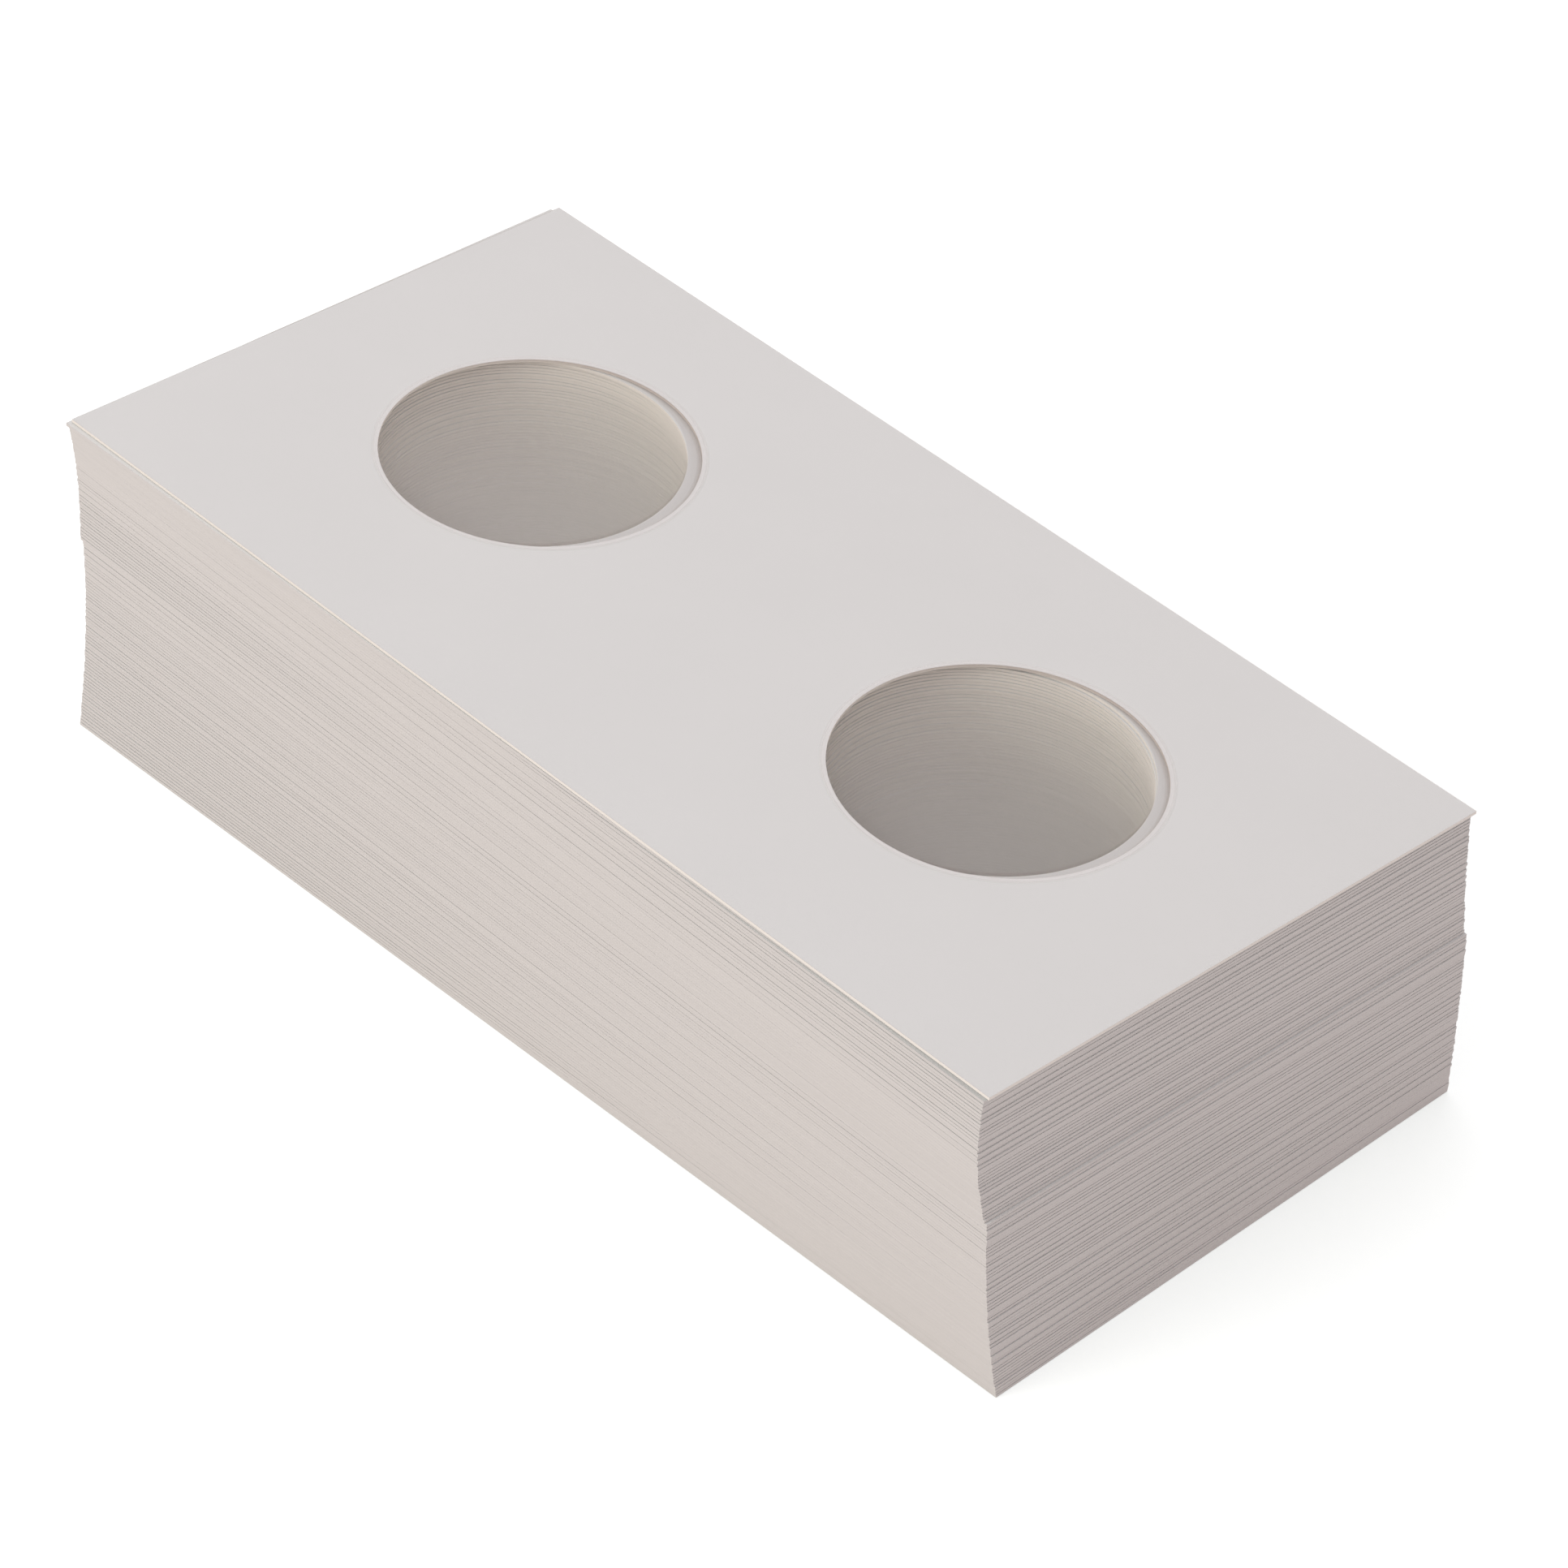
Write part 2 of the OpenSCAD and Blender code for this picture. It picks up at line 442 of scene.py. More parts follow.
class Nodes:
    """A node tree in the making: a material's, the world's or Geometry Nodes."""

    def __init__(self, tree):
        self.tree = tree
        tree.nodes.clear()

    def node(self, kind, setup=None, inputs=None, output=0):
        """Adds a node, sets it up, fills or links its sockets and returns an output."""
        made = self.tree.nodes.new(kind)
        for key, value in (setup or {}).items():
            setattr(made, key, value)
        for key, value in (inputs or {}).items():
            self.feed(made.inputs[key], value)
        return Shade(self, made.outputs[output]) if made.outputs else None

    def feed(self, socket, value):
        """Links or sets a socket, and leaves it as it is where the value is None."""
        if isinstance(value, Shade):
            self.tree.links.new(value.socket, socket)
        elif value is not None:
            socket.default_value = value

    def given(self, label):
        """One of the inputs of a Geometry Nodes tree."""
        return self.node("NodeGroupInput", output=label)

    def carried(self, name, kind):
        """A value that the geometry itself carries."""
        return self.node("GeometryNodeInputNamedAttribute", {"data_type": kind},
                         {"Name": name}, output="Attribute")

    def compared(self, kind, operation, first, second):
        return self.node("FunctionNodeCompare", {"data_type": kind, "operation": operation},
                         {"A": first, "B": second})

    def vector(self, operation, first, second):
        return self.node(
            "ShaderNodeVectorMath", {"operation": operation}, {0: first, 1: second})

    def component(self, vector, axis):
        return self.node("ShaderNodeSeparateXYZ", inputs={0: vector}, output=axis)

    def noise(self, vector, scale, detail=2.0, roughness=0.5, output=0):
        return self.node("ShaderNodeTexNoise", {"noise_dimensions": "3D"}, {
            "Vector": vector, "Scale": scale, "Detail": detail, "Roughness": roughness}, output)


class Finish(Nodes):
    """A node material in the making."""

    def __init__(self, name):
        self.material = bpy.data.materials.new(name)
        self.material.use_nodes = True
        super().__init__(self.material.node_tree)

    def place(self):
        """Coordinates of the piece's own space."""
        return self.node("ShaderNodeTexCoord", output="Object")

    def mixed(self, factor, first, second):
        """A colour between two others."""
        return self.node("ShaderNodeMix", {"data_type": "RGBA"}, {
            "Factor": factor, 6: first, 7: second}, output=2)

    def bump(self, height, distance, strength):
        return self.node("ShaderNodeBump", inputs={
            "Height": height, "Distance": distance, "Strength": strength})

    def away(self, flat, middles, start, width):
        """0 as far as start from the nearer of two middles, and 1 from width beyond it."""
        first, second = (
            self.node("ShaderNodeVectorMath", {"operation": "DISTANCE"},
                      {0: flat, 1: (x, y, 0.0)}, output="Value")
            for x, y in middles)
        return ((first.least(second) - start) * (1.0 / width)).clamped()

    def close(self, shader):
        self.node("ShaderNodeOutputMaterial", inputs={"Surface": shader})

    def surface(self, inputs):
        """Ends the material in a Principled surface."""
        self.close(self.node("ShaderNodeBsdfPrincipled", inputs=inputs))

    def film_surface(self, colour, roughness, ripple, alpha=None):
        """Ends the material in a film's surface, whose gloss waves with its ripple."""
        self.surface({"Base Color": colour, "Roughness": roughness, "Alpha": alpha,
                      "Normal": self.bump(ripple, RIPPLE_H, 0.3)})


def tinted(colour, by=1.0):
    """A colour with alpha, its brightness times a number."""
    return tuple(min(c * by, 1.0) for c in colour) + (1.0,)


def rippled(haze, ripple):
    """The share of light that a film returns, up to a tenth more or less in its ripple."""
    return haze * 0.9 + ripple * (haze * 0.2)


def face_paper(paper):
    """Bleached, smooth calendered face: a faint cloudiness and a fine fibre grain."""
    f = Finish(PAPER_FACE)
    at = f.place()
    cloud = f.noise(at, CLOUDS, 3.0)
    fibre = f.noise(at, FACE_FIBRES, 2.0, 0.6)
    f.surface({
        "Base Color": f.mixed(
            (cloud - 0.5) * 0.8 + (fibre - 0.5) * 0.4 + 0.5,
            tinted(paper.face_colour, 0.975), tinted(paper.face_colour, 1.02)),
        "Roughness": 0.55 + fibre * 0.15,
        "Specular IOR Level": 0.35,
        "Normal": f.bump(fibre + cloud * 2.0, FACE_RELIEF, 0.5)})


def cut_paper(name, paper, cut_colour):
    """Die-cut edge: cream core, each layer a little different, with painted shade darkening it
    towards its faces, where the layers meet.
    """
    f = Finish(name)
    at = f.place()
    # The small addition keeps the lower face of a layer in that layer
    layer = f.component(at, "Z") / PITCH + 0.001
    tone = f.node("ShaderNodeTexWhiteNoise", {"noise_dimensions": "1D"},
                  {"W": layer.floor()}, output="Value")
    across = layer.fraction() * (PITCH / BOARD_T)
    # 1 in the middle of the board's thickness and 0 at both of its faces, so that painted shade
    # darkens the edge where layers meet
    core = (across * (1.0 - across) * 9.0).clamped()
    streak = f.noise(f.vector("MULTIPLY", at, (1.0, 1.0, STREAK_STRETCH)), STREAKS, 2.0, 0.6)
    fibre = f.noise(at, EDGE_FIBRES, 1.0, 0.6)
    shade = (tone - 0.5) * paper.layer_spread + (streak - 0.5) * 0.08 \
        + (fibre - 0.5) * 0.05 + core * 0.06
    f.surface({
        "Base Color": f.mixed((shade * 2.0 + 0.42).clamped(),
                              tinted(cut_colour, 0.85), tinted(cut_colour, 1.09)),
        "Roughness": 0.78 + streak * 0.12,
        "Specular IOR Level": 0.2,
        "Normal": f.bump(fibre + streak * 2.0, EDGE_RELIEF, 0.1)})


def clear_film(name, film, haze):
    """Clear film: it scatters a little light, and painted light makes it darker from the one
    window to the other.
    """
    f = Finish(name)
    at = f.place()
    ripple = f.noise(at, RIPPLES, 0.0)
    # Painted light: the haze darkens from the fixed leaf's end to the folding end
    along = (f.component(at, "X") * (0.5 / LEAF_L) + 0.5).clamped()
    colour = f.mixed(along, tinted(film.film_colour, PAINTED_LIGHT_FIXED_END),
                     tinted(film.film_colour, PAINTED_LIGHT_FOLDING_END))
    f.film_surface(colour, film.roughness, ripple, rippled(haze, ripple))


def top_film_over_window(film, top):
    """The top film over a window, with painted shade under the far rim and over the next board's
    face.
    """
    f = Finish(TOP_OVER_WINDOW)
    at = f.place()
    flat, ripple = f.vector("MULTIPLY", at, (1.0, 1.0, 0.0)), f.noise(at, RIPPLES, 0.0)
    # Inside the window and outside these circles, moved by the rim width, lies the painted shade
    # line under the far rim
    nearer = [(x, y - top.rim_width) for x, y in top_middles()]
    line = f.away(flat, nearer, WINDOW_R - SHADE_START, LINE_BLUR)
    # Where the next holder's face shows inside the window, the film carries painted shade
    next_film = SINGLE_FILMS[0]
    under = middles_of(board_of(next_film), places_of(next_film)[0])
    ledge = f.away(flat, under, WINDOW_R - SHADE_START, LEDGE_BLUR)
    shade = line * top.rim_shade + ledge * top.ledge_shade
    colour = f.mixed((shade * SHADE_GAIN).least(1.0), tinted(film.film_colour),
                     tinted(top.shade_colour))
    f.film_surface(colour, film.roughness, ripple, rippled(film.window_haze, ripple) + shade)


def top_film_on_board(film, top):
    """The top film over its board, with a painted highlight: a pale ring round each window's rim.
    """
    f = Finish(TOP_ON_BOARD)
    at = f.place()
    flat, ripple = f.vector("MULTIPLY", at, (1.0, 1.0, 0.0)), f.noise(at, RIPPLES, 0.0)
    # The ring is full for two fifths of its width and fades out over the rest
    rim_highlight = 1.0 - f.away(flat, top_middles(), WINDOW_R + top.rim_highlight_width * 0.4,
                       top.rim_highlight_width * 0.6)
    f.film_surface(f.mixed(rim_highlight, tinted(film.film_colour), tinted(RIM_HIGHLIGHT_COLOUR)),
                   film.roughness, ripple, rim_highlight * top.rim_highlight_haze + film.glued_haze)


def top_middles():
    """Middles of the top holder's windows."""
    return middles_of(FIXED_BOARD, TOP_PLACE) + middles_of(FOLDING_BOARD, TOP_PLACE)


def film_rim(paper):
    """Cut edge of a film, as pale as the board's: painted light for the light that it traps."""
    f = Finish(FILM_EDGE)
    grain = f.noise(f.place(), FILM_EDGE_GRAIN, 1.0)
    f.surface({
        "Base Color": f.mixed(grain, tinted(paper.cut_colour, 0.93), tinted(paper.cut_colour)),
        "Roughness": 0.4 + grain * 0.2})


def film_underside(film):
    """Lower face of a clear film: its upper face already carries the haze of both."""
    Finish(FILM_BELOW).surface({"Base Color": tinted(film.film_colour), "Alpha": 0.0})


def closed_film(film):
    """The window of a film with many more above it: their scattered light closes it."""
    f = Finish(CLOSED_FILM)
    ripple = f.noise(f.place(), RIPPLES, 2.0)
    colour = f.mixed(ripple, tinted(film.film_colour, 0.82), tinted(film.film_colour, 0.88))
    f.film_surface(colour, film.roughness + ripple * 0.1, ripple)


def painted(*names):
    """The materials of these names. All of them are made at the first call."""
    if PAPER_FACE not in bpy.data.materials:
        paper, film, top = settings().paper, settings().film, settings().top
        face_paper(paper)
        cut_paper(CUT_EDGE, paper, paper.cut_colour)
        # The same cut paper with painted light, for the windows' walls and the top holder's edges
        cut_paper(LIT_CUT_EDGE, paper, paper.lit_cut_colour)
        clear_film(FILM_ON_BOARD, film, film.glued_haze)
        clear_film(FREE_FILM, film, film.window_haze)
        clear_film(BUNDLED_FILM, film, film.bundle_haze)
        film_underside(film)
        film_rim(paper)
        top_film_over_window(film, top)
        top_film_on_board(film, top)
        closed_film(film)
    return [bpy.data.materials[name] for name in names]


def ring_of(window, inset):
    """Points round a window, widened by inset."""
    radius = window.radius + inset
    return [(window.x + radius * math.cos(TAU * k / RING_STEPS),
             window.y + radius * math.sin(TAU * k / RING_STEPS)) for k in range(RING_STEPS)]


def inside_of(point, windows, inset=0.0):
    """Whether a point lies in one of the windows, each widened by inset."""
    return any(math.dist(point, (w.x, w.y)) < w.radius + inset for w in windows)


def side_points(first, last):
    """Points along one straight side, without its last one."""
    count = max(1, round(math.dist(first, last) / SIDE_STEP))
    return [tuple(np.add(first, np.subtract(last, first) * k / count)) for k in range(count)]


def outline_of(low_x, high_x, inset=0.0):
    """Counter-clockwise outline of a sheet between two places along the strip.

    It is drawn in by inset, apart from an end at the crease."""
    half_y = STRIP_W / 2
    turns = [(low_x, -half_y), (high_x, -half_y), (high_x, half_y), (low_x, half_y)]
    low = low_x + (0 if at_crease(low_x) else inset)
    high = high_x - (0 if at_crease(high_x) else inset)
    return [(low + (high - low) * (x - low_x) / (high_x - low_x), y * (half_y - inset) / half_y)
            for a, b in zip(turns, turns[1:] + turns[:1]) for x, y in side_points(a, b)]


def at_crease(x):
    """Whether a sheet that ends at this place ends at the crease."""
    return abs(x) < LEAF_L - MARGIN


def raised(points, z):
    """Flat points, put at one height."""
    return [(x, y, z) for x, y in points]


def flat_faces(outline, rings):
    """Triangles of a flat region and of the rings inside it: points and faces."""
    points, loops = [], []
    for loop in [outline, *rings]:
        start = len(points)
        points += loop
        loops.append([start + k for k in range(len(loop))])
    edges = [(loop[k], loop[(k + 1) % len(loop)]) for loop in loops for k in range(len(loop))]
    made, _, faces, _, _, _ = delaunay_2d_cdt(
        [Vector(p) for p in points], edges, [], 0, MERGE)
    return [tuple(p) for p in made], [tuple(face) for face in faces]


class Sheet:
    """A flat mesh in the making, with a finish for each face."""

    def __init__(self):
        self.points, self.faces, self.finishes, self.wander = [], [], [], []

    def add_points(self, points, wander=0.0):
        start = len(self.points)
        self.points += [tuple(p) for p in points]
        self.wander += [wander] * len(points)
        return start

    def add_face(self, face, finish):
        self.faces.append(tuple(face))
        self.finishes.append(finish)

    def cap(self, outline, rings, z, up, finish_at):
        """Closes a level with triangles, where finish_at gives a finish or None."""
        points, faces = flat_faces(outline, rings)
        start = self.add_points(raised(points, z))
        for face in faces:
            middle = np.mean([points[k] for k in face], axis=0)
            finish = finish_at(middle)
            if finish is None:
                continue
            area = sum(points[a][0] * points[b][1] - points[b][0] * points[a][1]
                       for a, b in zip(face, face[1:] + face[:1]))
            if (area > 0) != up:
                face = face[::-1]
            self.add_face([start + k for k in face], finish)

    def wall(self, upper, lower, finish_at):
        """Joins two loops of the same length, the upper one counter-clockwise.

        finish_at gives a finish for the two ends of a side."""
        a, b = self.add_points(upper, EDGE_WANDER), self.add_points(lower, EDGE_WANDER)
        count = len(upper)
        for k in range(count):
            n = (k + 1) % count
            self.add_face((a + k, b + k, b + n, a + n), finish_at(upper[k], upper[n]))

    def mesh(self, name):
        """A Blender mesh, with the points that meet merged into one."""
        made = bpy.data.meshes.new(name)
        keys, index, kept, strength = {}, [], [], []
        for k, (point, wander) in enumerate(zip(self.points, self.wander)):
            key = tuple(np.float32(point))
            if key not in keys:
                keys[key] = len(kept)
                kept.append(k)
                strength.append(0.0)
            index.append(keys[key])
            strength[index[k]] = max(strength[index[k]], wander)
        faces, finishes = [], []
        for face, finish in zip(self.faces, self.finishes):
            face = [index[k] for k in face]
            if len(set(face)) > 2:
                faces.append([k for n, k in enumerate(face) if k != face[n - 1]])
                finishes.append(finish)
        made.from_pydata([self.points[k] for k in kept], [], faces)
        made.attributes.new(FINISH, "INT", "FACE").data.foreach_set("value", finishes)
        made.attributes.new(WANDER, "FLOAT", "POINT").data.foreach_set("value", strength)
        made.update()
        return made

    def pattern(self, name):
        """An object that holds the mesh for the Geometry Nodes, and that no scene shows."""
        return bpy.data.objects.new(name, self.mesh(name))


def edge_levels(z_low, z_high, radius):
    """Levels down a cut edge with rounded arrises, from the top to the bottom."""
    soft = radius * (1 - math.sqrt(0.5))
    return [Level(radius, z_high), Level(soft, z_high - soft), Level(0, z_high - radius),
            Level(0, z_low + radius), Level(soft, z_low + soft), Level(radius, z_low)]


def board_sheet(low_x, high_x, windows, edge_round, seat):
    """Paperboard between two places along the strip, with its windows cut out."""
    sheet = Sheet()
    levels = edge_levels(seat, BOARD_T, edge_round)
    for level, up in ((levels[0], True), (levels[-1], False)):
        rings = [ring_of(w, level.inset) for w in windows]
        sheet.cap(outline_of(low_x, high_x, level.inset), rings, level.z, up,
                  lambda p: None if inside_of(p, windows, level.inset) else FACE)
    for upper, lower in zip(levels, levels[1:]):
        sheet.wall(raised(outline_of(low_x, high_x, upper.inset), upper.z),
                   raised(outline_of(low_x, high_x, lower.inset), lower.z),
                   lambda a, b: CUT)
        for w in windows:
            sheet.wall(raised(ring_of(w, upper.inset), upper.z)[::-1],
                       raised(ring_of(w, lower.inset), lower.z)[::-1],
                       lambda a, b: WINDOW_CUT)
    return sheet


def film_sheet(low_x, high_x, windows, seat):
    """Film between two places along the strip, which has its own finish over a window."""
    sheet = Sheet()
    outline = outline_of(low_x, high_x)
    rings = [ring_of(w, 0) for w in windows]
    z_low, z_high = BOARD_T + seat, PITCH
    sheet.cap(outline, rings, z_high, True,
              lambda p: OVER_WINDOW if inside_of(p, windows) else ON_BOARD)
    sheet.cap(outline, rings, z_low, False, lambda p: UNDERSIDE)
    # An end at the crease goes on in the next piece, so it shows no edge
    sheet.wall(raised(outline, z_high), raised(outline, z_low),
               lambda a, b: UNDERSIDE if a[0] == b[0] and at_crease(a[0]) else RIM)
    return sheet


def lay_patterns(t):
    """The pattern at every place, turned as the place says."""
    upright = t.node("ShaderNodeCombineXYZ", inputs={"Z": t.carried(TURN, "FLOAT")})
    pattern = t.node("GeometryNodeObjectInfo", {"transform_space": "ORIGINAL"},
                     {"Object": t.given("Pattern")}, output="Geometry")
    laid = t.node("GeometryNodeInstanceOnPoints", inputs={
        "Points": t.given("Places"), "Instance": pattern, "Rotation": upright})
    return t.node("GeometryNodeRealizeInstances", inputs={0: laid})


def let_edges_stray(t, holders):
    """Moves each cut edge a little: slowly along it, and afresh in every layer."""
    spot = t.node("GeometryNodeInputPosition")
    layer = (t.component(spot, "Z") * (1 / PITCH) - LEVEL_NUDGE).floor()
    course = t.node("ShaderNodeCombineXYZ", inputs={
        "X": t.component(spot, "X") * COURSE_STRETCH,
        "Y": t.component(spot, "Y") * COURSE_STRETCH,
        "Z": t.given("Seed") * SEED_STEP + layer})
    noise = t.noise(course, COURSE_SCALE, 1.0, output="Color")
    reach = t.vector("MULTIPLY", t.vector("SUBTRACT", noise, (0.5, 0.5, 0.5)),
                     t.given("Cut Wander"))
    offset = t.node("ShaderNodeVectorMath", {"operation": "SCALE"}, {
        0: reach, "Scale": t.carried(WANDER, "FLOAT")})
    return t.node("GeometryNodeSetPosition", inputs={"Geometry": holders, "Offset": offset})


def paint_faces(t, holders):
    """Gives each face the material of its finish.

    Over the windows, one film in every Haze Step carries the haze and the others have the
    clear finish of an underside. A step of 1 leaves every finish as it is."""
    finish = t.carried(FINISH, "INT")
    between = t.compared("FLOAT", "GREATER_THAN",
                         t.carried(ORDER, "INT") % t.given("Haze Step"), 0.5)
    over = t.compared("INT", "EQUAL", finish, OVER_WINDOW)
    clear = t.node("FunctionNodeBooleanMath", {"operation": "AND"}, {0: between, 1: over})
    chosen = t.node("GeometryNodeSwitch", {"input_type": "INT"}, {
        "Switch": clear, "False": finish, "True": UNDERSIDE})
    for value, label in enumerate(MATERIAL_INPUTS):
        holders = t.node("GeometryNodeSetMaterial", inputs={
            "Geometry": holders, "Selection": t.compared("INT", "EQUAL", chosen, value),
            "Material": t.given(label)})
    return holders


def lay_tree():
    """Geometry Nodes that lay one pattern at every place of a node and finish it."""
    tree = bpy.data.node_groups.new(LAY_HOLDERS, "GeometryNodeTree")
    inputs = (("Places", "Geometry"), ("Pattern", "Object"), ("Cut Wander", "Vector"),
              ("Seed", "Int"), ("Haze Step", "Int"),
              *((label, "Material") for label in MATERIAL_INPUTS))
    for label, kind in inputs:
        tree.interface.new_socket(label, in_out="INPUT", socket_type="NodeSocket" + kind)
    tree.interface.new_socket("Holders", in_out="OUTPUT", socket_type="NodeSocketGeometry")
    t = Nodes(tree)
    t.node("NodeGroupOutput", inputs={0: paint_faces(t, let_edges_stray(t, lay_patterns(t)))})
    return tree


def socket_of(tree, label):
    """Identifier of one of a tree's inputs."""
    return next(s.identifier for s in tree.interface.items_tree
                if s.item_type == "SOCKET" and s.in_out == "INPUT" and s.name == label)


def laid_out(name, places, pattern, materials, wander, seed, haze_step=1):
    """A plain mesh piece with the pattern at every place."""
    tree = bpy.data.node_groups.get(LAY_HOLDERS) or lay_tree()
    points = bpy.data.meshes.new(name + " places")
    points.from_pydata([(p.x, p.y, p.z) for p in places], [], [])
    points.attributes.new(TURN, "FLOAT", "POINT").data.foreach_set(
        "value", [p.turn for p in places])
    points.attributes.new(ORDER, "INT", "POINT").data.foreach_set("value", range(len(places)))
    carrier = bpy.data.objects.new(name + " places", points)
    bpy.context.scene.collection.objects.link(carrier)
    lay = carrier.modifiers.new(LAY_HOLDERS, "NODES")
    lay.node_group = tree
    for label, value in (("Pattern", pattern), ("Cut Wander", wander), ("Seed", seed),
                         ("Haze Step", haze_step), *zip(MATERIAL_INPUTS, materials)):
        lay[socket_of(tree, label)] = value
    bpy.context.view_layer.update()
    evaluated = carrier.evaluated_get(bpy.context.evaluated_depsgraph_get())
    mesh = bpy.data.meshes.new_from_object(evaluated)
    mesh.name = name
    piece = bpy.data.objects.new(name, mesh)
    bpy.context.scene.collection.objects.link(piece)
    carrier.modifiers.remove(lay)
    bpy.data.objects.remove(carrier)
    return piece


def finished(piece, body, slot, *nodes):
    """Hides the nodes that a piece stands for and attaches it to the body, if one is given. The
    slot is not used.
    """
    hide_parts(*nodes)
    if body:
        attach(piece, body)


def lay_sheets(places, span, windows, papers, films, wander, haze_step=1):
    """Boards and films that lie at the places of each film's node, one piece for each node."""
    paper, seat = settings().paper, settings().film.seat
    board_shape = board_sheet(*span, windows, paper.edge_round, seat).pattern("board pattern")
    film_shape = film_sheet(*span, windows, seat).pattern("film pattern")
    for film_node, spots in places.items():
        board_node = board_of(film_node)
        board = laid_out(board_node + "_piece", spots, board_shape, papers, wander, paper.seed)
        cover = laid_out(film_node + "_piece", spots, film_shape, films, wander, paper.seed,
                         haze_step)
        finished(board, body_of(board_node), BOARD_SLOT, board_node)
        finished(cover, body_of(film_node), FILM_SLOT, film_node)
    for shape in (board_shape, film_shape):
        bpy.data.objects.remove(shape)


def lay_whole_holders(film_nodes, window_film, haze_step=1):
    """Strips and films of whole holders, with one finish for the film over a window."""
    places = {node: places_of(node) for node in film_nodes}
    first = SINGLE_FILMS[0]
    windows = windows_of(board_of(first), places_of(first)[0])
    lay_sheets(places, (-LEAF_L, LEAF_L), windows,
               painted(PAPER_FACE, CUT_EDGE, LIT_CUT_EDGE),
               painted(FILM_ON_BOARD, window_film, FILM_BELOW, FILM_EDGE),
               settings().paper.cut_wander, haze_step)


class COINHOLDERS_OT_top_leaves(bpy.types.Operator):
    """Make both leaves of the top holder, board and film"""

    bl_idname = "coin_holders.top_leaves"
    bl_label = "Top holder's leaves"

    def execute(self, context):
        half = settings().top.crease_half
        # Every edge of the top holder takes the cut paper with painted light
        papers = painted(PAPER_FACE, LIT_CUT_EDGE, LIT_CUT_EDGE)
        films = painted(TOP_ON_BOARD, TOP_OVER_WINDOW, FILM_BELOW, FILM_EDGE)
        for film_node, span in ((FIXED_FILM, (-LEAF_L, -half)), (FOLDING_FILM, (half, LEAF_L))):
            windows = windows_of(board_of(film_node), TOP_PLACE)
            lay_sheets({film_node: [TOP_PLACE]}, span, windows, papers, films, (0, 0, 0))
        return {"FINISHED"}


def crease_band(name, levels_at, materials):
    """A closed band across the crease, from its low and high level at each x.

    The materials are those of its upper faces, of its two ends and of its lower faces."""
    top = settings().top
    columns = [top.crease_half * (2 * k / top.crease_steps - 1)
               for k in range(top.crease_steps + 1)]
    rows = round(STRIP_W / SIDE_STEP)
    points = [(x, STRIP_W * (j / rows - 0.5), z)
              for j in range(rows + 1) for x in columns for z in levels_at(x)]
    wide = 2 * len(columns)
    faces, finishes = [], []
    for j in range(rows):
        for i in range(len(columns) - 1):
            a = j * wide + 2 * i
            faces.append((a, a + wide, a + wide + 2, a + 2))
            faces.append((a + 1, a + 3, a + wide + 3, a + wide + 1))
            finishes += [BAND_LOWER, BAND_UPPER]
    for j in range(rows):
        a, b = j * wide, (j + 1) * wide - 2
        faces.append((a, a + 1, a + wide + 1, a + wide))
        faces.append((b, b + wide, b + wide + 1, b + 1))
        finishes += [BAND_UPPER, BAND_UPPER]
    for i in range(len(columns) - 1):
        a, b = 2 * i, rows * wide + 2 * i
        faces.append((a, a + 2, a + 3, a + 1))
        faces.append((b, b + 1, b + 3, b + 2))
        finishes += [BAND_END, BAND_END]
    mesh = bpy.data.meshes.new(name)
    mesh.from_pydata(points, [], faces)
    for material in materials:
        mesh.materials.append(material)
    mesh.polygons.foreach_set("material_index", finishes)
    mesh.transform(Matrix.Translation((TOP_PLACE.x, TOP_PLACE.y, TOP_PLACE.z)))
    mesh.update()
    piece = bpy.data.objects.new(name, mesh)
    bpy.context.scene.collection.objects.link(piece)
    return piece


class COINHOLDERS_OT_crease(bpy.types.Operator):
    """Make the band of board and film across the crease between the top holder's leaves"""

    bl_idname = "coin_holders.crease"
    bl_label = "Top holder's crease"

    def execute(self, context):
        seat, half = settings().film.seat, settings().top.crease_half
        groove = lambda x: seat + SCORE_H * max(0.0, 1 - abs(x) / SCORE_HALF)
        board = crease_band("top_flip_crease_board", lambda x: (groove(x), BOARD_T),
                            painted(PAPER_FACE, LIT_CUT_EDGE, PAPER_FACE))
        cover = crease_band("top_flip_crease_film", lambda x: (BOARD_T + seat, PITCH),
                            painted(TOP_ON_BOARD, FILM_EDGE, FILM_BELOW))
        finished(board, None, BOARD_SLOT, FIXED_BOARD, FOLDING_BOARD)
        finished(cover, None, FILM_SLOT, FIXED_FILM, FOLDING_FILM)
        for piece in (board, cover):
            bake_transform(piece)
        return {"FINISHED"}


class COINHOLDERS_OT_single_holders(bpy.types.Operator):
    """Make the holders that lie just under the top one, one by one"""

    bl_idname = "coin_holders.single_holders"
    bl_label = "Single holders"

    def execute(self, context):
        lay_whole_holders(SINGLE_FILMS, FREE_FILM)
        return {"FINISHED"}


class COINHOLDERS_OT_bundles(bpy.types.Operator):
    """Make the bundles of holders further down the pile"""

    bl_idname = "coin_holders.bundles"
    bl_label = "Bundles"

    def execute(self, context):
        lay_whole_holders(BUNDLE_FILMS[:-CLOSED_BUNDLES], BUNDLED_FILM, HAZE_STEP)
        lay_whole_holders(BUNDLE_FILMS[-CLOSED_BUNDLES:], CLOSED_FILM)
        return {"FINISHED"}


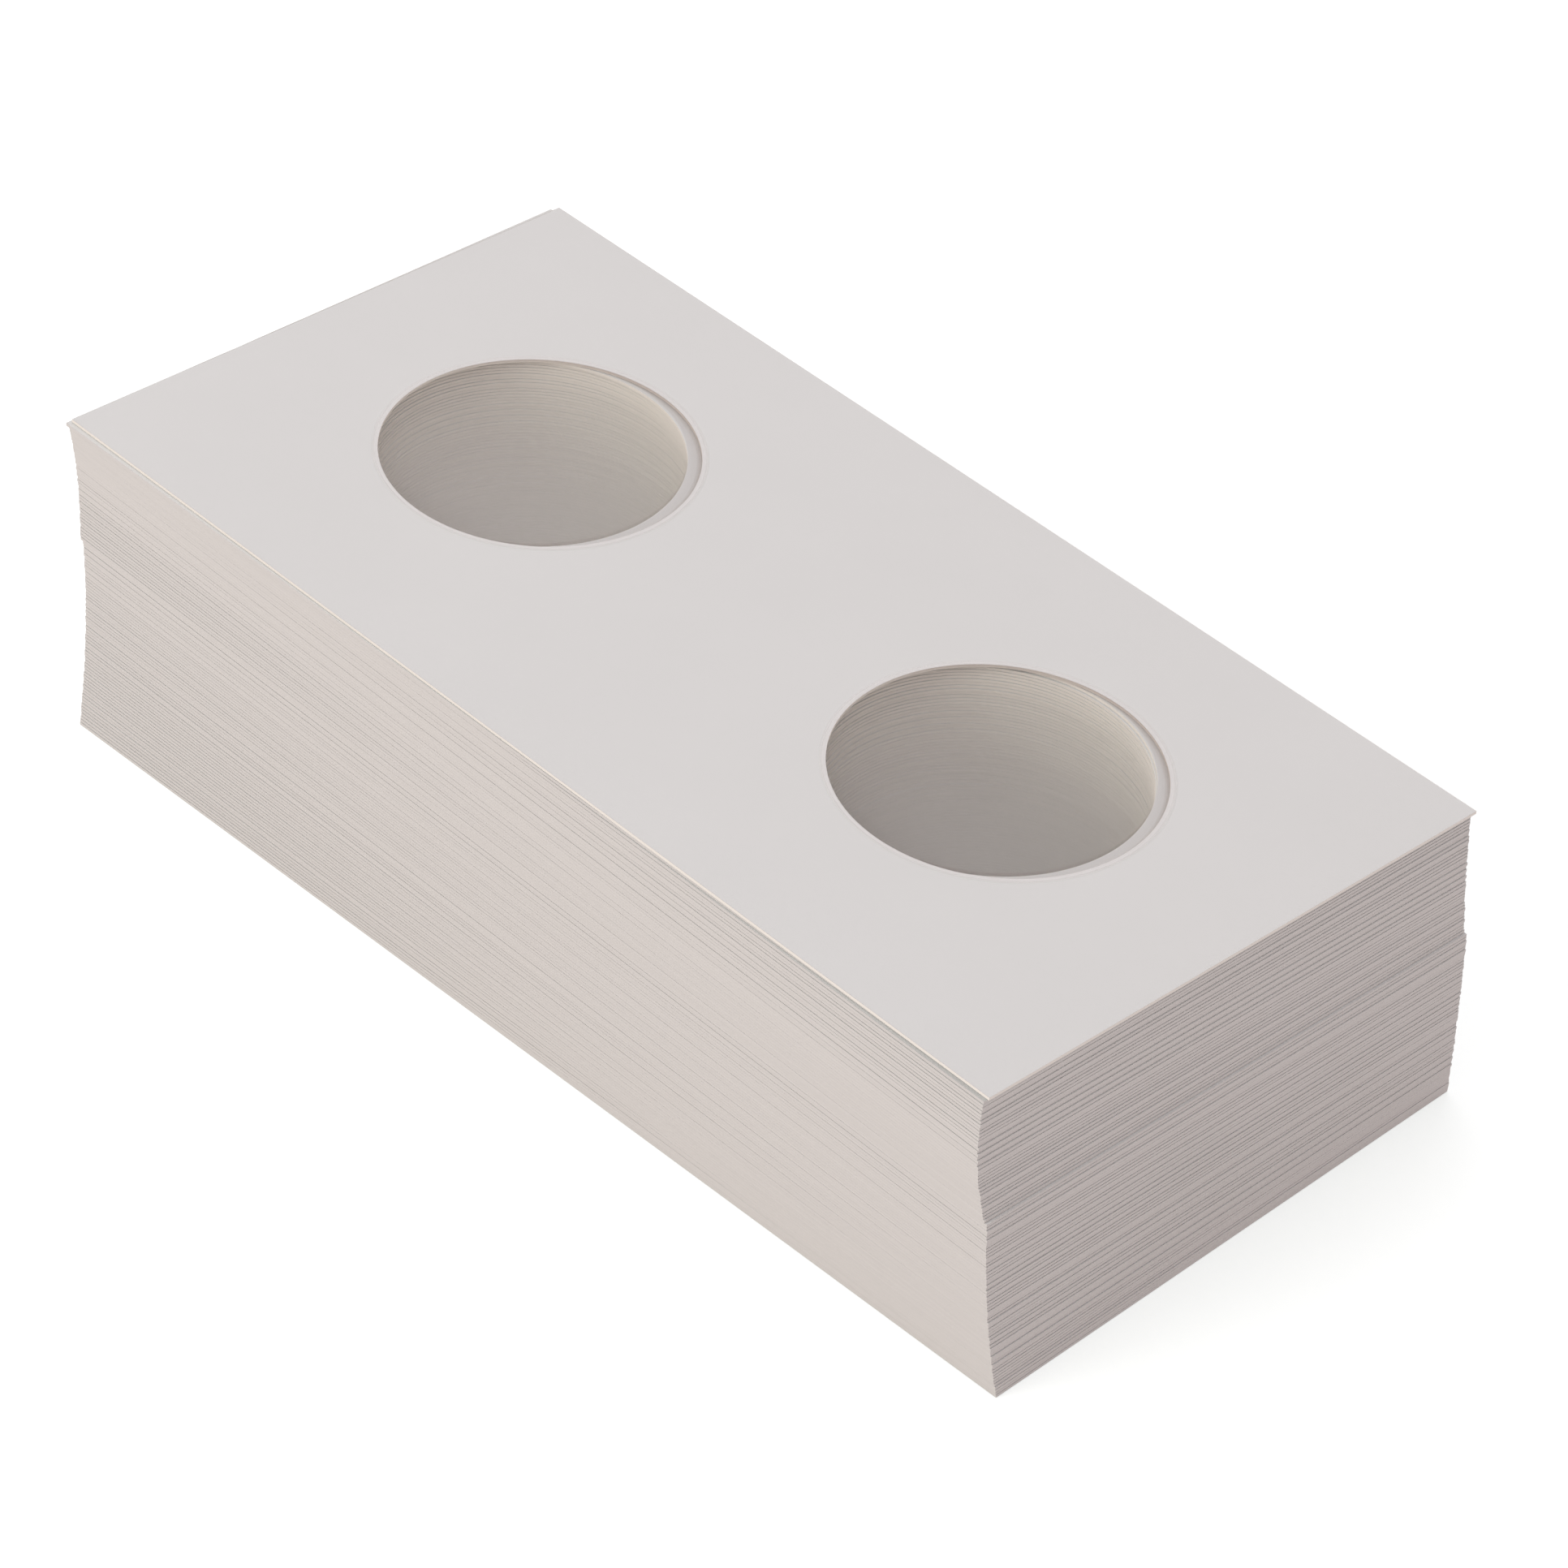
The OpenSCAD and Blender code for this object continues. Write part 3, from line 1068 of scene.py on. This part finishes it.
def studio_floor():
    """White sweep: pure white to the camera and in gloss, and lit as paper otherwise."""
    f = Finish("studio floor")
    seen = f.node("ShaderNodeLightPath", output="Is Camera Ray").most(
        f.node("ShaderNodeLightPath", output="Is Glossy Ray"))
    lit = f.node("ShaderNodeBsdfPrincipled", inputs={
        "Base Color": FLOOR_COLOUR, "Roughness": 0.9})
    glow = f.node("ShaderNodeEmission", inputs={
        "Color": FLOOR_GLOW, "Strength": FLOOR_GLOW_STRENGTH})
    both = f.node("ShaderNodeAddShader", inputs={0: lit, 1: glow})
    f.close(f.node("ShaderNodeMixShader", inputs={0: seen, 1: lit, 2: both}))

    r, z = FLOOR_HALF, CAD_BOX[0].z - FLOOR_DROP
    mesh = bpy.data.meshes.new("floor")
    mesh.from_pydata([(-r, -r, z), (r, -r, z), (r, r, z), (-r, r, z)], [], [(0, 1, 2, 3)])
    mesh.materials.append(f.material)
    floor = bpy.data.objects.new("floor", mesh)
    bpy.context.scene.collection.objects.link(floor)


def studio_lamp(name, lamp, power):
    """A round lamp that points at the middle of the pile."""
    light = bpy.data.lights.new(name, "AREA")
    light.shape, light.size, light.energy, light.color = "DISK", lamp.size, power, lamp.colour
    made = bpy.data.objects.new(name, light)
    made.location = lamp.place
    aim = Vector((0, 0, CREASE.z / 2)) - Vector(lamp.place)
    made.rotation_euler = aim.to_track_quat("-Z", "Y").to_euler()
    bpy.context.scene.collection.objects.link(made)


def studio_world(strength):
    """Even light all round, and white to the camera."""
    world = bpy.data.worlds.new("studio")
    world.use_nodes = True
    w = Nodes(world.node_tree)
    even = w.node("ShaderNodeBackground", inputs={"Color": WORLD_COLOUR, "Strength": strength})
    both = w.node("ShaderNodeMixShader", inputs={
        0: w.node("ShaderNodeLightPath", output="Is Camera Ray"), 1: even,
        2: w.node("ShaderNodeBackground", inputs={"Color": WHITE})})
    w.node("ShaderNodeOutputWorld", inputs={0: both})
    bpy.context.scene.world = world


def studio_camera(studio):
    """The camera at the photograph's viewing angle."""
    lens = bpy.data.cameras.new("camera")
    lens.lens, lens.sensor_width, lens.sensor_fit = studio.lens, SENSOR, "HORIZONTAL"
    lens.clip_start, lens.clip_end = CLIP_NEAR, CLIP_FAR
    camera = bpy.data.objects.new("camera", lens)
    azimuth, elevation, roll = studio.azimuth, studio.elevation, studio.roll
    back = Vector((math.sin(azimuth) * math.cos(elevation),
                   -math.cos(azimuth) * math.cos(elevation), math.sin(elevation)))
    right = (-back).cross(Vector((0, 0, 1))).normalized()
    up = right.cross(-back)
    rolled_right = math.cos(roll) * right + math.sin(roll) * up
    rolled_up = math.cos(roll) * up - math.sin(roll) * right
    camera.matrix_world = Matrix.Translation(studio.place) @ Matrix(
        (rolled_right, rolled_up, back)).transposed().to_4x4()
    bpy.context.scene.collection.objects.link(camera)
    bpy.context.scene.camera = camera


class COINHOLDERS_OT_studio(bpy.types.Operator):
    """Set up the floor, the lamps, the world and the camera"""

    bl_idname = "coin_holders.studio"
    bl_label = "Studio"

    def execute(self, context):
        studio, scene = settings().studio, context.scene
        studio_floor()
        studio_lamp("key lamp", KEY_LAMP, studio.key_power)
        studio_lamp("top lamp", TOP_LAMP, studio.fill_power)
        studio_world(studio.world_light)
        studio_camera(studio)
        scene.view_settings.view_transform = "Standard"
        scene.cycles.transparent_max_bounces = FILM_FACES
        return {"FINISHED"}


class CoinHolderSettings(bpy.types.PropertyGroup):
    """Everything that a user would change."""

    paper: bpy.props.PointerProperty(type=PaperSettings, name="Paper")
    film: bpy.props.PointerProperty(type=FilmSettings, name="Film")
    top: bpy.props.PointerProperty(type=TopHolderSettings, name="Top holder")
    studio: bpy.props.PointerProperty(type=StudioSettings, name="Studio")


OPERATORS = (COINHOLDERS_OT_studio, COINHOLDERS_OT_top_leaves, COINHOLDERS_OT_crease,
             COINHOLDERS_OT_single_holders, COINHOLDERS_OT_bundles)


class COINHOLDERS_PT_panel(bpy.types.Panel):
    """Sizes, colours and steps of the pile"""

    bl_label = "Coin Holders"
    bl_idname = "COINHOLDERS_PT_panel"
    bl_space_type = "VIEW_3D"
    bl_region_type = "UI"
    bl_category = "Coin Holders"

    def draw(self, context):
        holders = context.scene.coin_holders
        for group in (holders.paper, holders.film, holders.top, holders.studio):
            box = self.layout.box()
            for name in group.bl_rna.properties.keys():
                if name not in {"rna_type", "name"}:
                    box.prop(group, name)
        for operator in OPERATORS:
            self.layout.operator(operator.bl_idname)


CLASSES = (PaperSettings, FilmSettings, TopHolderSettings, StudioSettings,
           CoinHolderSettings, *OPERATORS, COINHOLDERS_PT_panel)


def register():
    for cls in CLASSES:
        bpy.utils.register_class(cls)
    bpy.types.Scene.coin_holders = bpy.props.PointerProperty(type=CoinHolderSettings)


def unregister():
    del bpy.types.Scene.coin_holders
    for cls in reversed(CLASSES):
        bpy.utils.unregister_class(cls)


def main():
    register()
    for operator in OPERATORS:
        group, name = operator.bl_idname.split(".")
        getattr(getattr(bpy.ops, group), name)()


if __name__ == "__main__":
    main()
